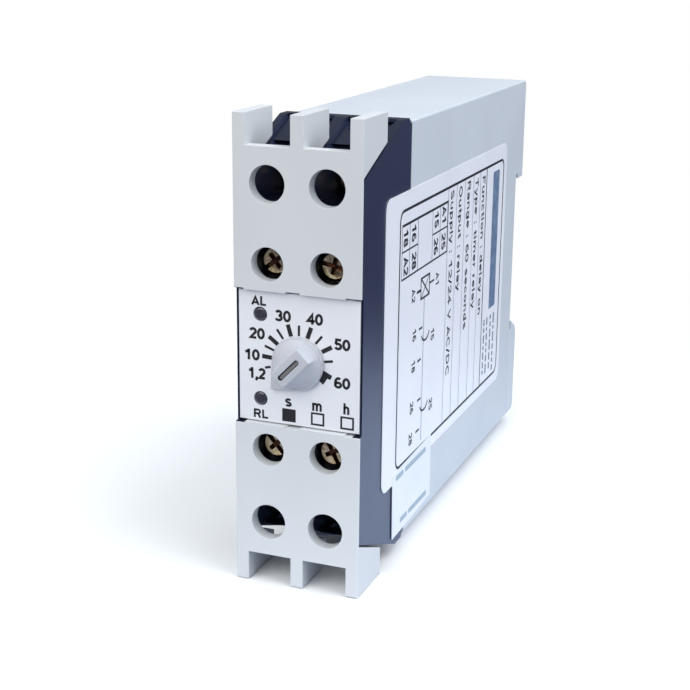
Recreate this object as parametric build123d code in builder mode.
"""DIN rail timer relay, 22.5 mm wide.

Frame: the origin is the middle of the seat that rests on the front of a 35 mm rail.
+Y points back towards the rail, so the user looks at the timer along +Y.
+X is to the user's right and +Z is up.  Every "depth" below is counted in +Y from
the front faces of the two terminal covers.
"""
import os

from build123d import *

# ---- Enclosure -------------------------------------------------------------------
width = 22.5                 # one enclosure module across X
height = 75.0                # housing, along Z
seat_depth = 94.2            # cover faces to the rail seat
housing_front = 23.0         # depth of the housing's open front edge
back_step = 5.3              # how far the hook and the foot stand behind the seat
wall = 1.6
edge_radius = 0.4
corner_radius = 0.8
guide_rib = 2.2              # ribs that hold the main board's edges
guide_thickness = 1.2
guide_gap = 0.1
guide_end = 12.0             # the ribs stop this far before the back wall

# ---- 35 mm rail ------------------------------------------------------------------
rail_width = 35.0
rail_flange = 1.0
flange_play = 0.3            # extra depth of the grooves behind a flange
rail_play = 0.2              # free height above and below the rail
hook_overlap = 0.8           # fixed hook behind the upper flange
foot_overlap = 1.9           # sliding foot behind the lower flange

# ---- Terminal frame --------------------------------------------------------------
frame_inset = 0.05           # each side, from the housing's side faces
frame_front = 0.3            # depth of the side walls' front edges under the covers
rim_front = 1.0              # depth of the rim beside the faceplate
frame_wall = 1.3
slope_start = 30.6           # height where each wiring slope leaves the front
slope_end_depth = 18.7
frame_top = 38.0
frame_lip_depth = 21.7       # the frame steps down to the housing behind this depth
frame_neck = 37.0            # half height next to the housing
partition = 2.2              # wall between the two columns of terminals
roof_drop = 0.8              # the roofs lie this far below the walls beside them
roof_end_depth = 19.3
block_front = 2.5            # depth of the frame's front face behind the covers
skirt_depth = 7.0            # skirt that plugs into the housing
skirt_gap = 0.1
skirt_wall = 1.2
bead = 0.35                  # snap bead on the skirt
bead_width = 1.0
bead_play = 0.2              # groove to bead, front and back
bead_depth = 4.0             # how far into the housing the bead lies
bead_inset = 3.0             # the groove ends this far inside the skirt's sides
bead_end_gap = 0.3

# ---- Covers and faceplate --------------------------------------------------------
cover_inner = 11.7           # half height of the window between the covers
cover_outer = 40.25
cover_panel = 2.3            # thickness of a cover's panel
cover_gap = 0.15
panel_end = 35.1             # height where the panel stops between the ears
ear = 2.25                   # width of each of the three ears
ear_depth = 10.8
ear_foot = 35.4              # height of an ear's back corner above its bevel
ear_gap = 0.4                # between an ear's bevel and the wiring slope
cover_land = 0.25            # raised lands on the edge beside the faceplate
cover_lands = ((-9.5, -2.0), (0.5, 8.5))
cover_edge = 0.25            # rounding of the covers' long edges
outer_hole = 6.2             # screwdriver holes, diameter
inner_hole = 5.7
faceplate_gap = 0.07
rim = 0.35                   # width of the frame's rim beside the faceplate
faceplate_front = 0.9
faceplate_back = 1.9
faceplate_height = 22.5
faceplate_edge = 0.12
deck = 1.4                   # frame wall behind the faceplate
pilot_hole = 2.5             # holes for the two signal lamps
lamp_gap = 0.05
lamp_dome = 0.5
lamp_behind_deck = 2.5
lamp_collar = 0.8
lead_offset = 0.6            # each of a lamp's two leads from its axis
lead_half = 0.25
lamp_x = -6.9
lamp_height = 7.3
knob_z = -0.3                # height of the knob's axis

# ---- Terminals -------------------------------------------------------------------
column = 5.2                 # X of the terminal columns
inner_row = 15.95            # heights of the two rows of screws
outer_row = 29.05
head_front = 3.3             # depth of the front-level screw heads
level_step = 7.6             # the rear-level terminals lie this much deeper
head_diameter = 4.6
head_height = 1.4
screw_diameter = 3.0
thread_gap = 0.05            # radial gap between screw and clamp
clamp_travel = 2.0
clamp_wall = 1.0
clamp_width = 6.4
clamp_length = 5.6
clamp_gap = 0.25             # clamp to its chamber
head_gap = 0.15              # screw head to the clamp at its highest
head_edge = 0.3
driver_slot = 0.8            # width and depth of the slots in a screw's head
driver_cross = 2.9           # length of the shorter slot
clamp_edge = 0.5
bar_gap = 0.2                # contact strip to the clamp's sides
bar = 0.8                    # contact strip thickness
bar_width = 4.4
leg_width = 2.2
leg_gap = 0.35               # contact's leg to its clamp
leg_overlap = 0.7            # the leg reaches this far past the column's middle
touch_gap = 0.05
wire_space = 2.3
chamber_room = 0.2           # behind a clamp at its lowest
entry_room = 0.2             # a wire entry is this much deeper than its wire
well_floor = 1.3             # wall behind a front-level well
well_wall = 5.0              # hollow behind the front-level wells to the outer screws
entry_width = 5.2            # wire entry in the sloping roof
entry_flare = 0.8

# ---- Boards ----------------------------------------------------------------------
board = 1.6
front_board_depth = 9.0
front_board_thickness = 1.4
board_face = -6.3            # X of the main board's component side
board_start = 35.0
board_neck = 9.6             # half height of the main board inside the terminal frame
board_edge_gap = 0.5
board_end = 5.0              # the main board stops this far before the back wall
foot_room = 1.5              # main board to the wall of the foot's channel
front_board_x = (-8.6, 8.8)
front_board_half = 10.4

# ---- Components on the main board: spans of depth and of height ------------------
pin_pitch = 2.54
pin_half = 0.32
connector_pins = 5
connector_half = 6.5
connector_size = 2.5
connector_stand = 0.6        # connector's body to either board
pin_inset = 0.9              # pins from the connector's edge
relay_height = 15.2
relay_stand = 0.4
relay_corner = 0.8
relay_foot_inset = 2.0
relay_span = (46.0, 65.0)
relay_15_heights = (2.5, 18.0)
relay_25_heights = (-18.0, -2.5)
can_radius = 5.0
can_length = 12.5
can_edge = 0.6
can_place = (77.0, 22.0)
film_length = 11.0
film_span = (69.0, 82.0)
film_heights = (2.0, 8.0)
film_corner = 0.5
disc_radius = 4.6
disc_thickness = 3.6
disc_edge = 0.8
disc_back = 78.0
disc_rise = 5.6              # middle of the disc above the board
disc_height = -10.0
disc_lead_offset = 2.5
disc_lead_half = 0.3
disc_lead_length = 4.0
chip_span = (48.0, 67.0)
chip_heights = (22.3, 28.7)
chip_stand = 0.9
chip_top = 4.2
chip_pins = 8
chip_pin_half = 0.25
chip_pin_inset = 0.6
chip_pin_reach = 0.9
chip_pin_top = 2.4
diodes = 4
diode_radius = 1.35
diode_length = 5.2
diode_height = -29.0
diode_front = 48.0
diode_pitch = 5.0
resistor_count = 5
resistor_radius = 1.2
resistor_length = 3.4
resistor_height = -22.6
resistor_front = 47.0
resistor_pitch = 4.2

front_gap = 0.15             # knob to faceplate
knob_radius = 4.5
pointer_reach = 6.8
ridge_length = 6.7
ridge_width = 3.0
ridge_front = -2.9           # depth: the ridge stands in front of the covers
knob_plate = 0.8
rest_angle = 226.0           # where the pointer stands at the low stop, degrees from +X
slot_width = 0.9
slot_length = 5.0
slot_shift = 0.35            # the knob's slot lies this far towards the pointer
slot_depth_in_knob = 0.9
knob_plate_edge = 0.15
knob_step = 0.25             # the knob's body stands this far inside its base plate
ridge_edge = 0.2
shaft_radius = 1.5
shaft_gap = 0.03
stem_radius = 2.3

# ---- Labels ----------------------------------------------------------------------
label = 0.1
label_front = 10.6
label_back = 85.3
label_height = 51.7
label_corner = 2.3
small_label = 0.08
small_label_front = 16.2
small_label_back = 37.7
small_label_top = -23.6
small_label_bottom = -36.0
small_label_tilt = 1.7       # degrees; it was put on by hand

# ---- Rail foot -------------------------------------------------------------------
foot_gap = 0.15
foot_height = 37.3           # the foot ends this far below the seat's middle
channel_half = 6.0
neck_half = 4.0
channel_floor = 89.6
lip = 1.6                    # the housing's lips that hold the foot's tongue
channel_top = 19.0
tongue_top = 21.0
pocket_half = 2.1
pocket_top = 22.0
pocket_bottom = 34.0
stop_gap = 0.1
boss_height = 1.6
boss_side_gap = 0.2
boss_depth = 1.0             # how far the boss and the pocket reach into the neck
pocket_depth = 1.4
spring_radius = 1.55
spring_wire = 0.22
spring_turns = 7

# ---- Values that follow ----------------------------------------------------------
half_width = width / 2
half_height = height / 2
back_face = seat_depth + back_step
inner_half_width = half_width - wall
inner_half_height = half_height - wall
hook_edge = rail_width / 2 - hook_overlap
groove_top = rail_width / 2 + rail_play
groove_back = seat_depth + rail_flange + flange_play
foot_edge = rail_width / 2 - foot_overlap
frame_half = half_width - frame_inset
slope = (frame_top - slope_start) / (slope_end_depth - frame_front)
between_walls = frame_half - frame_wall
skirt_half_width = inner_half_width - skirt_gap
skirt_half_height = inner_half_height - skirt_gap
cavity_half_height = cover_inner - 0.7
deck_back = faceplate_back + deck
faceplate_half = frame_half - rim - faceplate_gap
board_back = board_face - board


def front_plane(depth):
    """Sketch plane facing the user, its x along +X and its y along +Z."""
    return Plane(origin=(0, depth - seat_depth, 0), x_dir=(1, 0, 0), z_dir=(0, -1, 0))


def side_plane(x):
    """Sketch plane facing +X, its x the depth behind the covers and its y along +Z."""
    return Plane(origin=(x, -seat_depth, 0), x_dir=(0, 1, 0), z_dir=(1, 0, 0))


def level_plane(z):
    """Sketch plane facing up, its x along +X and its y the depth behind the covers."""
    return Plane(origin=(0, -seat_depth, z), x_dir=(1, 0, 0), z_dir=(0, 0, 1))


def block(x_span, depth_span, z_span, mode=Mode.ADD):
    """Add or cut a block between two X values, two depths and two heights."""
    x_low, x_high = sorted(x_span)
    y_low, y_high = sorted(depth - seat_depth for depth in depth_span)
    z_low, z_high = sorted(z_span)
    with Locations(((x_low + x_high) / 2, (y_low + y_high) / 2, (z_low + z_high) / 2)):
        Box(x_high - x_low, y_high - y_low, z_high - z_low, mode=mode)


def rod(x, z, depth_span, radius, mode=Mode.ADD):
    """Add or cut a round rod along Y between two depths."""
    low, high = sorted(depth_span)
    with Locations(Location((x, (low + high) / 2 - seat_depth, z), (90, 0, 0))):
        Cylinder(radius, high - low, mode=mode)


def slope_height(depth):
    """Height of the frame's wiring slope at a depth."""
    return slope_start + slope * (depth - frame_front)


def save(piece, name):
    """Label a finished piece and write it as its own file."""
    piece.part.label = name
    export_step(piece.part, f"parts/{name}.step")


# Each terminal: name, side (-1 left, +1 right), up or down, row height, extra depth,
# and the angle at which its screw happens to stand.
terminals = [
    ("a1", -1, 1, outer_row, level_step, 20),
    ("25", 1, 1, outer_row, level_step, 65),
    ("15", -1, 1, inner_row, 0.0, 38),
    ("26", 1, 1, inner_row, 0.0, -12),
    ("16", -1, -1, inner_row, 0.0, -48),
    ("28", 1, -1, inner_row, 0.0, -62),
    ("18", -1, -1, outer_row, level_step, 10),
    ("a2", 1, -1, outer_row, level_step, 80),
]

# Depths inside a front-level terminal, from the head back to the clamp's floor.
head_back = head_front + head_height
clamp_front = head_back + head_gap + clamp_travel
bar_front = clamp_front + clamp_wall + touch_gap
bar_back = bar_front + bar
clamp_floor = bar_back + wire_space
clamp_back = clamp_floor + clamp_wall
chamber_back = clamp_back + chamber_room
chamber_half_width = clamp_width / 2 + clamp_gap
chamber_half_height = clamp_length / 2 + clamp_gap
entry_front = clamp_floor - wire_space - entry_room
tongue_end = 2.45            # contact tongue past the screw, towards the wire
leg_offset = clamp_length / 2 + leg_gap
slit_gap = 0.15

os.makedirs("parts", exist_ok=True)


# ---- Housing ---------------------------------------------------------------------
spring_seat = pocket_bottom - stop_gap - boss_height
tongue_back = seat_depth - lip - foot_gap

with BuildPart() as housing:
    with BuildSketch(side_plane(0)):
        with BuildLine():
            Polyline(
                (housing_front, half_height),
                (back_face, half_height),
                (back_face, hook_edge),
                (groove_back, hook_edge),
                (groove_back, groove_top),
                (seat_depth, groove_top),
                (seat_depth, -half_height),
                (housing_front, -half_height),
                close=True,
            )
        make_face()
    extrude(amount=half_width, both=True)
    across = housing.edges().filter_by(Axis.X)
    outer_corners = across.filter_by_position(Axis.Y, 0, back_face).filter_by(
        lambda edge: abs(abs(edge.center().Z) - half_height) < 0.01
    )
    fillet(outer_corners, corner_radius)
    long_edges = housing.edges().filter_by(Axis.Y).filter_by(
        lambda edge: abs(abs(edge.center().Z) - half_height) < 0.01
    )
    fillet(long_edges, edge_radius)
    # The space for the boards, and the hollow behind the fixed hook.
    inside = (-inner_half_width, inner_half_width)
    block(
        inside,
        (housing_front, seat_depth - wall),
        (-inner_half_height, inner_half_height),
        Mode.SUBTRACT,
    )
    block(
        inside,
        (seat_depth - wall, back_face - wall),
        (groove_top + wall, inner_half_height),
        Mode.SUBTRACT,
    )
    # The channel in which the rail foot's tongue slides.
    block(
        (-channel_half - wall, channel_half + wall),
        (channel_floor - wall, seat_depth - wall),
        (-channel_top + wall, -inner_half_height),
    )
    below = -half_height - 1
    block(
        (-channel_half, channel_half),
        (channel_floor, seat_depth - lip),
        (-channel_top, below),
        Mode.SUBTRACT,
    )
    block(
        (-neck_half, neck_half),
        (seat_depth - lip, seat_depth),
        (-channel_top, below),
        Mode.SUBTRACT,
    )
    # The boss carries the foot's spring and stops the foot on its way up.
    block(
        (-pocket_half + boss_side_gap, pocket_half - boss_side_gap),
        (channel_floor, seat_depth - lip + boss_depth),
        (-spring_seat, -pocket_bottom + stop_gap),
    )
    # Guide ribs hold the main board's upper and lower edges.
    for side in (1, -1):
        rib_span = (side * (inner_half_height - guide_rib), side * inner_half_height)
        rib_depth = (board_start + 2, seat_depth - wall - guide_end)
        rib_face = board_face + guide_gap
        block((-inner_half_width, board_back - guide_gap), rib_depth, rib_span)
        block((rib_face, rib_face + guide_thickness), rib_depth, rib_span)
    # The snap groove for the terminal frame's bead.
    bead_front = housing_front + bead_depth
    groove = (bead_front - bead_play, bead_front + bead_width + bead_play)
    for side in (1, -1):
        block(
            (-skirt_half_width + bead_inset, skirt_half_width - bead_inset),
            groove,
            (side * inner_half_height, side * (inner_half_height + bead)),
            Mode.SUBTRACT,
        )
save(housing, "housing")


# ---- Rail foot and its spring ----------------------------------------------------
plate_front = seat_depth + foot_gap
foot_chamfer = 0.8
nose_land = 1.6              # the straight part of the foot's nose, front to back
nose_drop = 1.0
nose_curve = 4.0             # the nose curves down over this height
lever_slot = (3.2, 2.4, 2.8)  # half width, depth and height of the screwdriver's slot
lever_slot_low = 1.6
spring_gap = 0.05            # spring to its two seats
spring_side_gap = 0.1

with BuildPart() as rail_foot:
    with BuildSketch(side_plane(0)):
        with BuildLine():
            Polyline(
                (plate_front, -foot_height),
                (plate_front, -groove_top),
                (groove_back, -groove_top),
                (groove_back, -foot_edge),
                (groove_back + nose_land, -foot_edge - nose_drop),
            )
            ThreePointArc(
                (groove_back + nose_land, -foot_edge - nose_drop),
                (back_face - 0.55, -foot_edge - 2.3),
                (back_face, -foot_edge - nose_curve),
            )
            Polyline(
                (back_face, -foot_edge - nose_curve),
                (back_face, -foot_height + foot_chamfer),
                (back_face - foot_chamfer, -foot_height),
                (plate_front, -foot_height),
            )
        make_face()
    extrude(amount=half_width, both=True)
    # A tongue with a T section slides in the housing's channel.
    tongue_z = (-tongue_top, -foot_height + foot_chamfer)
    block((-neck_half + foot_gap, neck_half - foot_gap), (tongue_back, plate_front), tongue_z)
    block(
        (-channel_half + foot_gap, channel_half - foot_gap),
        (channel_floor + foot_gap, tongue_back),
        tongue_z,
    )
    # The pocket takes the spring and the housing's boss.
    block(
        (-pocket_half, pocket_half),
        (channel_floor, seat_depth - lip + pocket_depth),
        (-pocket_top, -pocket_bottom),
        Mode.SUBTRACT,
    )
    # A screwdriver in this slot levers the foot down.
    slot_half, slot_depth, slot_height = lever_slot
    slot_low = -foot_height + lever_slot_low
    block((-slot_half, slot_half), (back_face - slot_depth, back_face),
          (slot_low, slot_low + slot_height), Mode.SUBTRACT)
save(rail_foot, "rail_foot")

spring_depth = channel_floor + foot_gap + spring_radius + spring_wire + spring_side_gap
spring_low = -spring_seat + spring_wire + spring_gap
spring_high = -pocket_top - spring_wire - spring_gap
spring_length = spring_high - spring_low

with BuildPart() as foot_spring:
    with BuildLine() as coil:
        Helix(
            pitch=spring_length / spring_turns,
            height=spring_length,
            radius=spring_radius,
            center=(0, spring_depth - seat_depth, spring_low),
        )
    with BuildSketch(Plane(origin=coil.line @ 0, z_dir=coil.line % 0)):
        Circle(spring_wire)
    sweep(is_frenet=True)
save(foot_spring, "foot_spring")


# ---- Terminal frame --------------------------------------------------------------
window = cover_inner - cover_gap
crest_radius = 2.0           # where each wiring slope meets the frame's top
frame_step = 0.8
hollow_inset = 0.5           # the hollow behind the deck, from the inner walls
clip_height = 22.5           # middle height of the covers' clips
clip_width = 3.0
clip_depth = 3.2             # how far a clip reaches behind the frame's front face
clip_thickness = 0.5
barb = 0.35
barb_depth = 1.0
clip_room = 0.25             # clip pocket to clip, sideways
clip_room_depth = 0.4
post_radius = 1.0
post_x = 7.6
post_height = 8.8
lamp_flange = 0.3
stem_gap = 0.25              # knob's stem to the holes it turns in

clip_inner = between_walls - clip_thickness
clip_room_half = clip_width / 2 + 0.2

with BuildPart() as terminal_frame:
    with BuildSketch(side_plane(0)) as profile:
        with BuildLine():
            Polyline(
                (rim_front, 0),
                (rim_front, window),
                (frame_front, window),
                (frame_front, slope_start),
                (slope_end_depth, frame_top),
                (frame_lip_depth, frame_top),
                (frame_lip_depth + frame_step, frame_neck),
                (housing_front, frame_neck),
                (housing_front, 0),
                close=True,
            )
        make_face()
        mirror(about=Plane.XZ)
    extrude(amount=frame_half, both=True)
    crests = terminal_frame.edges().filter_by(Axis.X).filter_by(
        lambda edge: abs(abs(edge.center().Z) - frame_top) < 0.01
        and edge.center().Y < frame_lip_depth - seat_depth - 1
    )
    fillet(crests, crest_radius)
    # The faceplate's seat, between the two thin rims.
    block(
        (-faceplate_half - faceplate_gap, faceplate_half + faceplate_gap),
        (0, faceplate_back),
        (-window, window),
        Mode.SUBTRACT,
    )
    # The hollow behind the deck holds the front board and the potentiometer.
    block(
        (-between_walls + hollow_inset, between_walls - hollow_inset),
        (deck_back, housing_front),
        (-cavity_half_height, cavity_half_height),
        Mode.SUBTRACT,
    )
    # Posts for the front board, and holes for the lamps and the knob's stem.
    for z in (-post_height, post_height):
        rod(post_x, z, (deck_back, front_board_depth), post_radius)
    for z in (-lamp_height, lamp_height):
        rod(lamp_x, z, (faceplate_back, deck_back), pilot_hole / 2 + lamp_flange, Mode.SUBTRACT)
    rod(0, knob_z, (faceplate_back, deck_back), stem_radius + stem_gap, Mode.SUBTRACT)
    for side in (1, -1):
        # Room for a cover's panel, and the roofs between the walls and the partition.
        block(
            (-between_walls, between_walls),
            (0, block_front),
            (side * window, side * (frame_top + 1)),
            Mode.SUBTRACT,
        )
        for hand in (1, -1):
            with BuildSketch(side_plane(hand * (partition / 2 + between_walls) / 2)):
                with BuildLine():
                    Polyline(
                        (0, side * (slope_height(0) - roof_drop)),
                        (roof_end_depth, side * (slope_height(roof_end_depth) - roof_drop)),
                        (roof_end_depth, side * (frame_top + 1)),
                        (0, side * (frame_top + 1)),
                        close=True,
                    )
                make_face()
            extrude(
                amount=(between_walls - partition / 2) / 2, both=True, mode=Mode.SUBTRACT
            )
            # Pockets for the covers' clips.
            block(
                (hand * (clip_inner - clip_room), hand * (between_walls + barb)),
                (block_front, block_front + clip_depth + clip_room_depth),
                (side * (clip_height - clip_room_half), side * (clip_height + clip_room_half)),
                Mode.SUBTRACT,
            )
    for name, hand, side, row, deeper, turn in terminals:
        x = hand * column
        # The well takes the screw and its clamp, and a slit lets the contact's leg out.
        block(
            (x - chamber_half_width, x + chamber_half_width),
            (block_front, chamber_back + deeper),
            (side * (row - chamber_half_height), side * (row + chamber_half_height)),
            Mode.SUBTRACT,
        )
        leg_low = row - leg_offset - bar
        block(
            (x - bar_width / 2 - slit_gap, x + bar_width / 2 + slit_gap),
            (bar_front + deeper - 1, housing_front),
            (side * (leg_low - slit_gap), side * (row - chamber_half_height)),
            Mode.SUBTRACT,
        )
        # The wire comes in through the roof, above the clamp's floor.
        entry = (entry_front + deeper, clamp_floor + deeper)
        block(
            (x - entry_width / 2, x + entry_width / 2),
            entry,
            (side * row, side * (frame_top + 1)),
            Mode.SUBTRACT,
        )
        # Its mouth flares at 45 degrees where it meets the roof.
        entry_middle = (entry[0] + entry[1]) / 2
        mouth = slope_height(entry_middle) - roof_drop + entry_flare
        flare_plane = Plane(
            origin=(x, entry_middle - seat_depth, side * mouth),
            x_dir=(1, 0, 0),
            z_dir=(0, 0, side),
        )
        with BuildSketch(flare_plane):
            Rectangle(entry_width + 4 * entry_flare, clamp_floor - entry_front + 4 * entry_flare)
        extrude(amount=-2 * entry_flare, taper=45, mode=Mode.SUBTRACT)
    for hand in (1, -1):
        for side in (1, -1):
            # The hollow behind the front-level clamps, open to the housing.
            x = hand * column
            block(
                (x - chamber_half_width, x + chamber_half_width),
                (chamber_back + well_floor, housing_front),
                (side * (inner_row - chamber_half_height), side * (outer_row - well_wall)),
                Mode.SUBTRACT,
            )
    # The skirt that plugs into the housing, with its snap beads.
    with BuildSketch(front_plane(housing_front)):
        Rectangle(2 * skirt_half_width, 2 * skirt_half_height)
        Rectangle(
            2 * (skirt_half_width - skirt_wall),
            2 * (skirt_half_height - skirt_wall),
            mode=Mode.SUBTRACT,
        )
    extrude(amount=-skirt_depth)
    bead_half = skirt_half_width - bead_inset - bead_end_gap
    for side in (1, -1):
        block(
            (-bead_half, bead_half),
            (bead_front, bead_front + bead_width),
            (side * skirt_half_height, side * (skirt_half_height + bead)),
        )
save(terminal_frame, "terminal_frame")


# ---- Terminal covers -------------------------------------------------------------
def terminal_cover(side):
    """One cover: a thin skin, an inset panel with four screwdriver holes, three ears."""
    panel_half = between_walls - cover_gap
    with BuildPart() as cover:
        block((-half_width, half_width), (0, frame_front),
              (side * cover_inner, side * slope_start))
        block((-panel_half, panel_half), (0, cover_panel), (side * cover_inner, side * panel_end))
        bevel_low = slope_start + ear_gap
        for x in (-half_width + ear / 2, 0, half_width - ear / 2):
            with BuildSketch(side_plane(x)):
                with BuildLine():
                    Polyline(
                        (0, side * slope_start),
                        (0, side * cover_outer),
                        (ear_depth, side * cover_outer),
                        (ear_depth, side * ear_foot),
                        (frame_front, side * bevel_low),
                        (frame_front, side * slope_start),
                        close=True,
                    )
                make_face()
            extrude(amount=ear / 2, both=True)
        # Two low lands close most of the gap beside the faceplate.
        for x_span in cover_lands:
            block(x_span, (0, faceplate_back - cover_gap),
                  (side * cover_inner, side * (cover_inner - cover_land)))
        outer_edges = cover.edges().filter_by(Axis.Z).filter_by(
            lambda edge: abs(abs(edge.center().X) - half_width) < 0.01
            and edge.center().Y < -seat_depth + 0.01
        )
        fillet(outer_edges, cover_edge)
        for x in (-column, column):
            rod(x, side * outer_row, (0, cover_panel), outer_hole / 2, Mode.SUBTRACT)
            rod(x, side * inner_row, (0, cover_panel), inner_hole / 2, Mode.SUBTRACT)
        # Clips with barbs that snap behind the frame's side walls.
        clip_end = block_front + clip_depth
        clip_z = (side * (clip_height - clip_width / 2), side * (clip_height + clip_width / 2))
        for hand in (1, -1):
            block((hand * (panel_half - clip_thickness), hand * panel_half),
                  (cover_panel, clip_end), clip_z)
            block((hand * panel_half, hand * (panel_half + barb)),
                  (clip_end - barb_depth, clip_end), clip_z)
    return cover


save(terminal_cover(1), "upper_cover")
save(terminal_cover(-1), "lower_cover")


# ---- Faceplate and labels --------------------------------------------------------
with BuildPart() as faceplate:
    block(
        (-faceplate_half, faceplate_half),
        (faceplate_front, faceplate_back),
        (-faceplate_height / 2, faceplate_height / 2),
    )
    fillet(faceplate.faces().sort_by(Axis.Y)[0].edges(), faceplate_edge)
    for z in (-lamp_height, lamp_height):
        rod(lamp_x, z, (faceplate_front, faceplate_back), pilot_hole / 2, Mode.SUBTRACT)
    rod(0, knob_z, (faceplate_front, faceplate_back), stem_radius + stem_gap, Mode.SUBTRACT)
save(faceplate, "faceplate")

with BuildPart() as side_label:
    with BuildSketch(side_plane(half_width)):
        with Locations(((label_front + label_back) / 2, 0)):
            RectangleRounded(label_back - label_front, label_height, label_corner)
    extrude(amount=label)
save(side_label, "side_label")

with BuildPart() as small_side_label:
    with BuildSketch(side_plane(half_width + label)):
        with Locations((
            (small_label_front + small_label_back) / 2,
            (small_label_top + small_label_bottom) / 2,
        )):
            Rectangle(small_label_back - small_label_front, small_label_top - small_label_bottom,
                      rotation=small_label_tilt)
    extrude(amount=small_label)
save(small_side_label, "small_label")


# ---- Terminal screws, clamps and contacts ----------------------------------------
left_tab = 37.5              # depth of the left contacts' solder tabs
right_tab = 41.0
tab = 2.0
tab_stub = 0.8               # a tab stands this far out of the board's solder side
tab_slot_gap = 0.1
tab_end = board_back - tab_stub

for name, hand, side, row, deeper, turn in terminals:
    x = hand * column
    z = side * row

    with BuildPart() as screw:
        rod(x, z, (head_front + deeper, head_back + deeper), head_diameter / 2)
        rim_edge = screw.edges().filter_by(GeomType.CIRCLE).sort_by(Axis.Y)[0]
        fillet(rim_edge, head_edge)
        rod(x, z, (head_back + deeper, bar_front + deeper - touch_gap), screw_diameter / 2)
        # A full-width slot crossed by a shorter one, so either driver fits.
        with BuildSketch(front_plane(head_front + deeper)):
            with Locations((x, z)):
                Rectangle(head_diameter + 1, driver_slot, rotation=turn)
                Rectangle(driver_slot, driver_cross, rotation=turn)
        extrude(amount=-driver_slot, mode=Mode.SUBTRACT)
    save(screw, f"screw_{name}")

    with BuildPart() as clamp:
        block(
            (x - clamp_width / 2, x + clamp_width / 2),
            (clamp_front + deeper, clamp_back + deeper),
            (z - clamp_length / 2, z + clamp_length / 2),
        )
        fillet(clamp.edges().filter_by(Axis.Z), clamp_edge)
        block(
            (x - bar_width / 2 - bar_gap, x + bar_width / 2 + bar_gap),
            (clamp_front + clamp_wall + deeper, clamp_floor + deeper),
            (z - clamp_length, z + clamp_length),
            Mode.SUBTRACT,
        )
        rod(
            x, z,
            (clamp_front + deeper - 1, clamp_front + clamp_wall + deeper),
            screw_diameter / 2 + thread_gap,
            Mode.SUBTRACT,
        )
    save(clamp, f"clamp_{name}")

    leg_high = row - leg_offset
    leg_x = (hand * (column - leg_width / 2), hand * (column + leg_overlap))
    with BuildPart() as contact:
        block(
            (x - bar_width / 2, x + bar_width / 2),
            (bar_front + deeper, bar_back + deeper),
            (side * (leg_high - bar), side * (row + tongue_end)),
        )
        leg_z = (side * (leg_high - bar), side * leg_high)
        tab_depth = left_tab if hand < 0 else right_tab
        block(leg_x, (bar_front + deeper, tab_depth + tab / 2), leg_z)
        block((tab_end, max(leg_x)), (tab_depth - tab / 2, tab_depth + tab / 2), leg_z)
    save(contact, f"contact_{name}")


# ---- Knob and potentiometer ------------------------------------------------------
pot_front = deck_back + 1.1
pot_half = 4.8
pot_corner = 0.5
rotor = 1.0                  # thickness of the rotor inside the potentiometer
rotor_play = 0.2
rotor_depth = (pot_front + 1.9, pot_front + 1.9 + rotor)
shaft_end = pot_front + 3.9
shaft_end_gap = 0.1
knob_plane = front_plane(faceplate_front - front_gap)
flat = 1.0                   # the shaft's flat, from its axis

with BuildPart() as knob:
    # The base plate is round, with two tangents that meet at the pointer's tip.
    pointer = Plane(
        origin=(0, knob_plane.origin.Y, knob_z),
        x_dir=Vector(1, 0, 0).rotate(Axis.Y, -rest_angle),
        z_dir=(0, -1, 0),
    )
    touch_x = knob_radius ** 2 / pointer_reach
    touch_y = (knob_radius ** 2 - touch_x ** 2) ** 0.5
    with BuildSketch(pointer):
        Circle(knob_radius)
        with BuildLine():
            Polyline((touch_x, touch_y), (pointer_reach, 0), (touch_x, -touch_y), close=True)
        make_face()
    extrude(amount=knob_plate)
    fillet(knob.faces().sort_by(Axis.Y)[0].edges(), knob_plate_edge)
    # The body rises from a round foot to a flat ridge.
    with BuildSketch(pointer.offset(knob_plate)):
        Circle(knob_radius - knob_step)
    with BuildSketch(pointer.offset(faceplate_front - front_gap - ridge_front)):
        Rectangle(ridge_length, ridge_width)
    loft()
    fillet(knob.faces().sort_by(Axis.Y)[0].edges(), ridge_edge)
    with BuildSketch(pointer.offset(faceplate_front - front_gap - ridge_front)):
        with Locations((slot_shift, 0)):
            SlotOverall(slot_length, slot_width)
    extrude(amount=-slot_depth_in_knob, mode=Mode.SUBTRACT)
    # The stem goes through the faceplate and the deck, and takes the shaft.
    stem_end = pot_front - 0.4
    rod(0, knob_z, (faceplate_front - front_gap, stem_end), stem_radius)
    bore = (faceplate_front, stem_end)
    rod(0, knob_z, bore, shaft_radius + shaft_gap, Mode.SUBTRACT)
    block((-shaft_radius + 0.2, shaft_radius - 0.2), bore,
          (knob_z + flat + shaft_gap, knob_z + shaft_radius + 0.2))
save(knob, "knob")

with BuildPart() as shaft:
    rod(0, knob_z, (faceplate_front + shaft_end_gap, shaft_end), shaft_radius)
    block(
        (-shaft_radius, shaft_radius),
        (0, stem_end + shaft_end_gap),
        (knob_z + flat, knob_z + shaft_radius + 1),
        Mode.SUBTRACT,
    )
    rod(0, knob_z, rotor_depth, pot_half - 1.0 - rotor_play)
save(shaft, "potentiometer_shaft")

with BuildPart() as potentiometer:
    block((-pot_half, pot_half), (pot_front, front_board_depth),
          (knob_z - pot_half, knob_z + pot_half))
    fillet(potentiometer.edges().filter_by(Axis.Y), pot_corner)
    rotor_room = (rotor_depth[0] - rotor_play, rotor_depth[1] + rotor_play)
    rod(0, knob_z, rotor_room, pot_half - 1.0, Mode.SUBTRACT)
    shaft_hole = (pot_front, shaft_end + shaft_end_gap)
    rod(0, knob_z, shaft_hole, shaft_radius + thread_gap, Mode.SUBTRACT)
save(potentiometer, "potentiometer")


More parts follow.
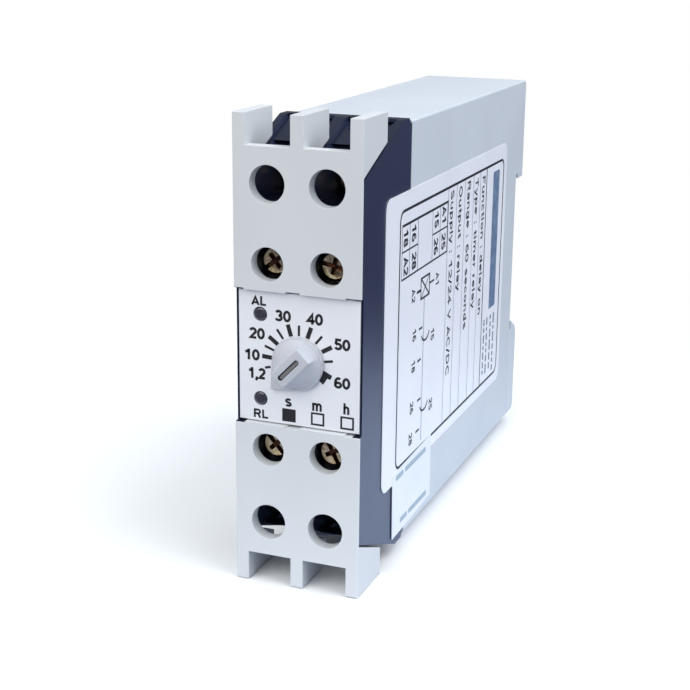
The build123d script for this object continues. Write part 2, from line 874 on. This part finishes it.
# ---- Signal lamps and boards -----------------------------------------------------
def signal_lamp(z):
    """A small lamp: a domed lens, a collar behind the deck and two leads to the board."""
    radius = pilot_hole / 2 - lamp_gap
    lamp_back = deck_back + lamp_behind_deck
    with BuildPart() as lamp:
        rod(lamp_x, z, (faceplate_front + lamp_gap, lamp_back), radius)
        tip = lamp.edges().filter_by(GeomType.CIRCLE).sort_by(Axis.Y)[0]
        fillet(tip, lamp_dome)
        rod(lamp_x, z, (lamp_back - lamp_collar, lamp_back), radius + lamp_flange)
        for lead in (-lead_offset, lead_offset):
            block((lamp_x - lead_half, lamp_x + lead_half), (lamp_back, front_board_depth),
                  (z + lead - lead_half, z + lead + lead_half))
    return lamp


save(signal_lamp(lamp_height), "supply_lamp")
save(signal_lamp(-lamp_height), "relay_lamp")

front_board_back = front_board_depth + front_board_thickness
main_front = front_board_back + 1.2

with BuildPart() as front_board:
    block(front_board_x, (front_board_depth, front_board_back),
          (-front_board_half, front_board_half))
save(front_board, "front_board")

with BuildPart() as main_board:
    board_half = inner_half_height - board_edge_gap
    block((board_back, board_face), (board_start, seat_depth - wall - board_end),
          (-board_half, board_half))
    block((board_back, board_face), (main_front, board_start), (-board_neck, board_neck))
    # The lower back corner leaves room for the rail foot's channel.
    block((board_back, board_face), (channel_floor - wall - foot_room, seat_depth),
          (-channel_top + wall + 1, -half_height), Mode.SUBTRACT)
    for name, hand, side, row, deeper, turn in terminals:
        tab_depth = left_tab if hand < 0 else right_tab
        slot_z = row - leg_offset - bar / 2
        slot_half_height = bar / 2 + tab_slot_gap
        block(
            (board_back, board_face),
            (tab_depth - tab / 2 - tab_slot_gap, tab_depth + tab / 2 + tab_slot_gap),
            (side * (slot_z - slot_half_height), side * (slot_z + slot_half_height)),
            Mode.SUBTRACT,
        )
save(main_board, "main_board")

with BuildPart() as board_connector:
    body_x = board_face + connector_stand
    body_depth = front_board_back + connector_stand
    pin_x = body_x + pin_inset
    pin_depth = body_depth + pin_inset
    pin = 2 * pin_half
    block((body_x, body_x + connector_size), (body_depth, body_depth + connector_size),
          (-connector_half, connector_half))
    for count in range(connector_pins):
        z = pin_pitch * (count - (connector_pins - 1) / 2)
        pin_z = (z - pin_half, z + pin_half)
        block((pin_x, pin_x + pin), (front_board_back, body_depth), pin_z)
        block((board_face, body_x), (pin_depth, pin_depth + pin), pin_z)
save(board_connector, "board_connector")


# ---- Components on the main board ------------------------------------------------
def relay(heights):
    """A sealed changeover relay with a moulded rim round its foot."""
    case_x = board_face + relay_stand
    with BuildPart() as case:
        block((case_x, board_face + relay_height), relay_span, heights)
        fillet(case.edges().filter_by(Axis.X), relay_corner)
        block((board_face, case_x), (relay_span[0] + relay_foot_inset,
                                     relay_span[1] - relay_foot_inset),
              (heights[0] + relay_foot_inset, heights[1] - relay_foot_inset))
    return case


save(relay(relay_15_heights), "relay_15")
save(relay(relay_25_heights), "relay_25")

with BuildPart() as supply_capacitor:
    with BuildSketch(Plane.YZ.offset(board_face)):
        with Locations((can_place[0] - seat_depth, can_place[1])):
            Circle(can_radius)
    extrude(amount=can_length)
    fillet(supply_capacitor.edges().filter_by(GeomType.CIRCLE), can_edge)
save(supply_capacitor, "supply_capacitor")

with BuildPart() as film_capacitor:
    block((board_face, board_face + film_length), film_span, film_heights)
    fillet(film_capacitor.edges().filter_by(Axis.X), film_corner)
save(film_capacitor, "film_capacitor")

with BuildPart() as varistor:
    with BuildSketch(Plane.XZ.offset(seat_depth - disc_back)):
        with Locations((board_face + disc_rise, disc_height)):
            Circle(disc_radius)
    extrude(amount=disc_thickness)
    fillet(varistor.edges().filter_by(GeomType.CIRCLE), disc_edge)
    disc_middle = disc_back - disc_thickness / 2 - 0.1
    for offset in (-disc_lead_offset, disc_lead_offset):
        z = disc_height + offset
        block((board_face, board_face + disc_lead_length),
              (disc_middle - disc_lead_half, disc_middle + disc_lead_half),
              (z - disc_lead_half, z + disc_lead_half))
save(varistor, "varistor")

with BuildPart() as timing_chip:
    block((board_face + chip_stand, board_face + chip_top), chip_span, chip_heights)
    for count in range(chip_pins):
        depth = chip_span[0] + chip_pin_inset + pin_pitch * count
        for z_span in ((chip_heights[0] - chip_pin_reach, chip_heights[0]),
                       (chip_heights[1], chip_heights[1] + chip_pin_reach)):
            block((board_face, board_face + chip_pin_top),
                  (depth - chip_pin_half, depth + chip_pin_half), z_span)
save(timing_chip, "timing_chip")

with BuildPart() as rectifier_diodes:
    for count in range(diodes):
        with BuildSketch(level_plane(diode_height)):
            with Locations((board_face + diode_radius, diode_front + diode_pitch * count)):
                Circle(diode_radius)
        extrude(amount=diode_length)
save(rectifier_diodes, "rectifier_diodes")

with BuildPart() as resistors:
    for count in range(resistor_count):
        depth = resistor_front + resistor_pitch * count
        with BuildSketch(level_plane(resistor_height)):
            with Locations((board_face + resistor_radius, depth)):
                Circle(resistor_radius)
        extrude(amount=resistor_length)
save(resistors, "resistors")
